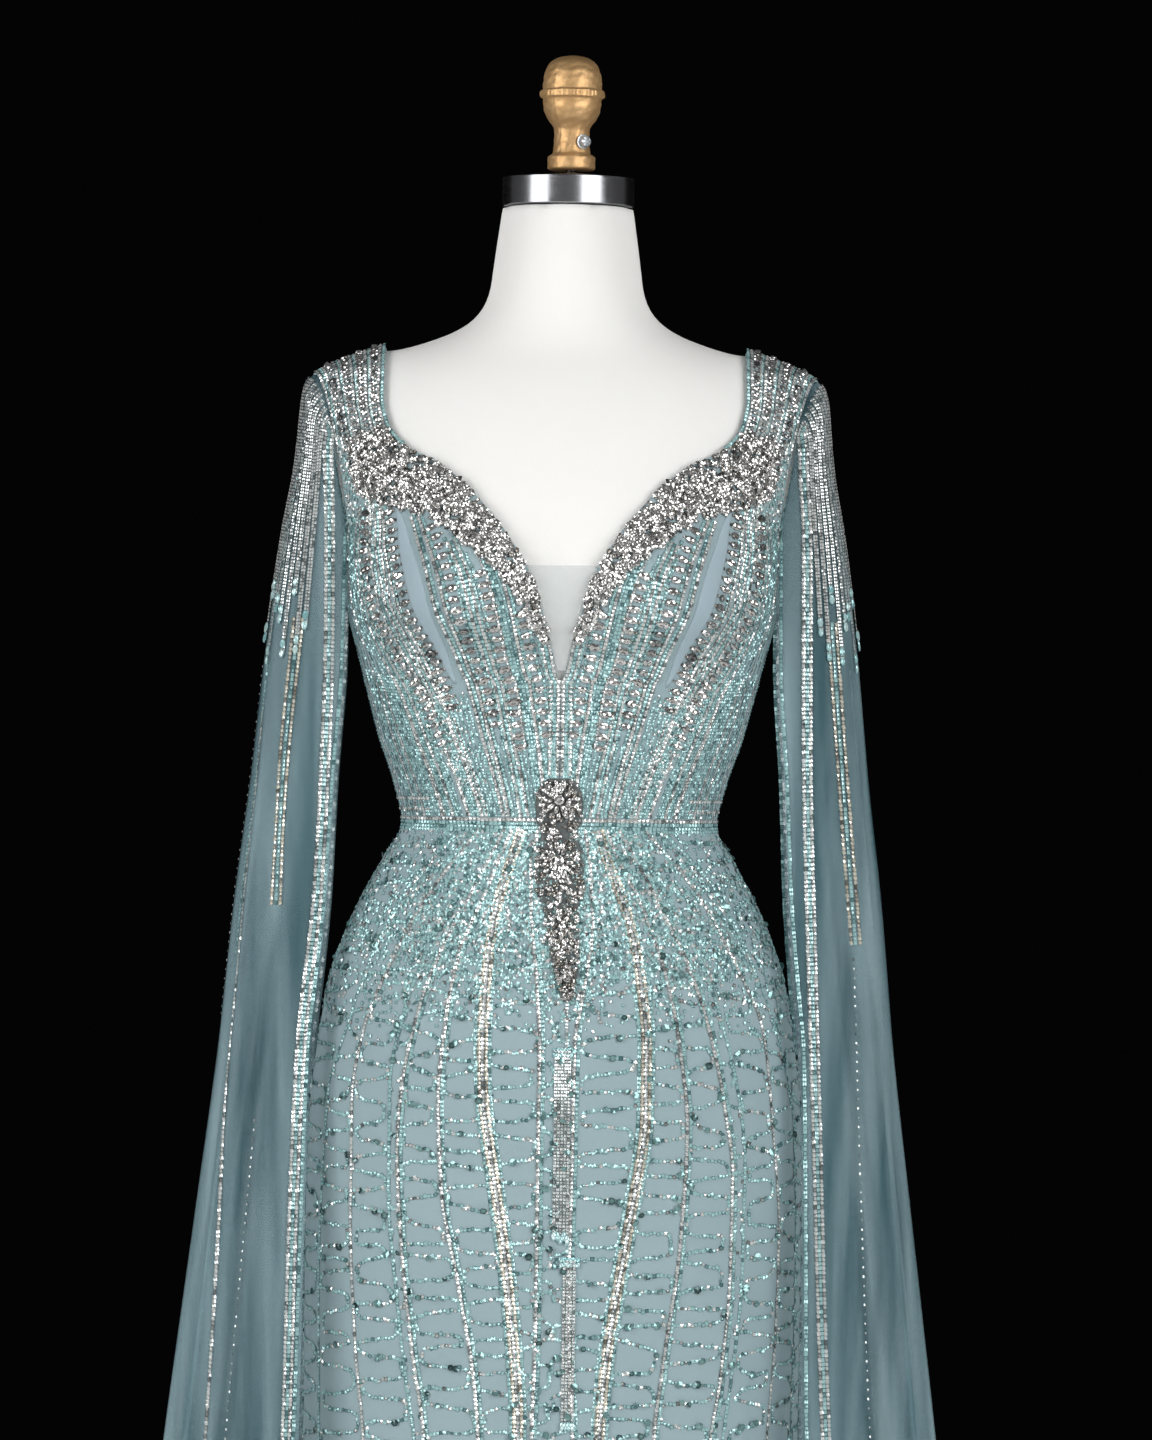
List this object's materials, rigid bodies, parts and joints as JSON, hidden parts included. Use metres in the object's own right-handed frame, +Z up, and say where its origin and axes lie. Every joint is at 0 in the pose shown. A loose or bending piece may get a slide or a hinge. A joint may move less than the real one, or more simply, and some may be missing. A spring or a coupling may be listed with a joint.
{
  "type": "evening gown on a limbless dress form",
  "caption": "Beaded floor-length evening gown with a V neckline and long open cape sleeves, on a plain dress form and stand.",
  "frame": {"origin": "middle of the underside of the stand's foot, on the floor", "axes": "+Z up, front towards -Y, the wearer's left side at +X"},
  "size_m": [0.725, 0.438, 1.643],
  "materials": {
    "cloth": "beaded pale aqua mesh over a matt ground",
    "tulle": "sheer pale aqua tulle with beaded edges",
    "net": "fine skin-tone illusion net",
    "crystal": "clear and silver-backed cut crystals",
    "beads": "silver-lined aqua seed beads",
    "form_cover": "matt off-white cotton cover",
    "arm_plate": "plain oval plate",
    "steel": "brushed",
    "brass": "rough cast, dull",
    "base": "dark satin"
  },
  "bodies": {
    "root": {"bodice_front_left": "cloth", "bodice_front_right": "cloth", "bodice_back_left": "cloth", "bodice_back_right": "cloth", "skirt_front": "cloth", "skirt_back_left": "cloth", "skirt_back_right": "cloth", "cape_sleeve_left_shoulder": "tulle", "cape_sleeve_left_arm": "tulle", "cape_sleeve_left_knee": "tulle", "cape_sleeve_left_hem": "tulle", "cape_sleeve_right_shoulder": "tulle", "cape_sleeve_right_arm": "tulle", "cape_sleeve_right_knee": "tulle", "cape_sleeve_right_hem": "tulle", "neck_insert": "net", "waist_motif": "crystal", "shoulder_fringe_left": "beads", "shoulder_fringe_right": "beads", "tassel_upper": "beads", "tassel_lower": "beads", "form_body": "form_cover", "arm_plate_left": "arm_plate", "arm_plate_right": "arm_plate", "neck_cap": "steel", "neck_rod": "steel", "finial_bolt": "steel", "stand_pole": "steel", "finial": "brass", "stand_base": "base"}
  },
  "joints": []
}
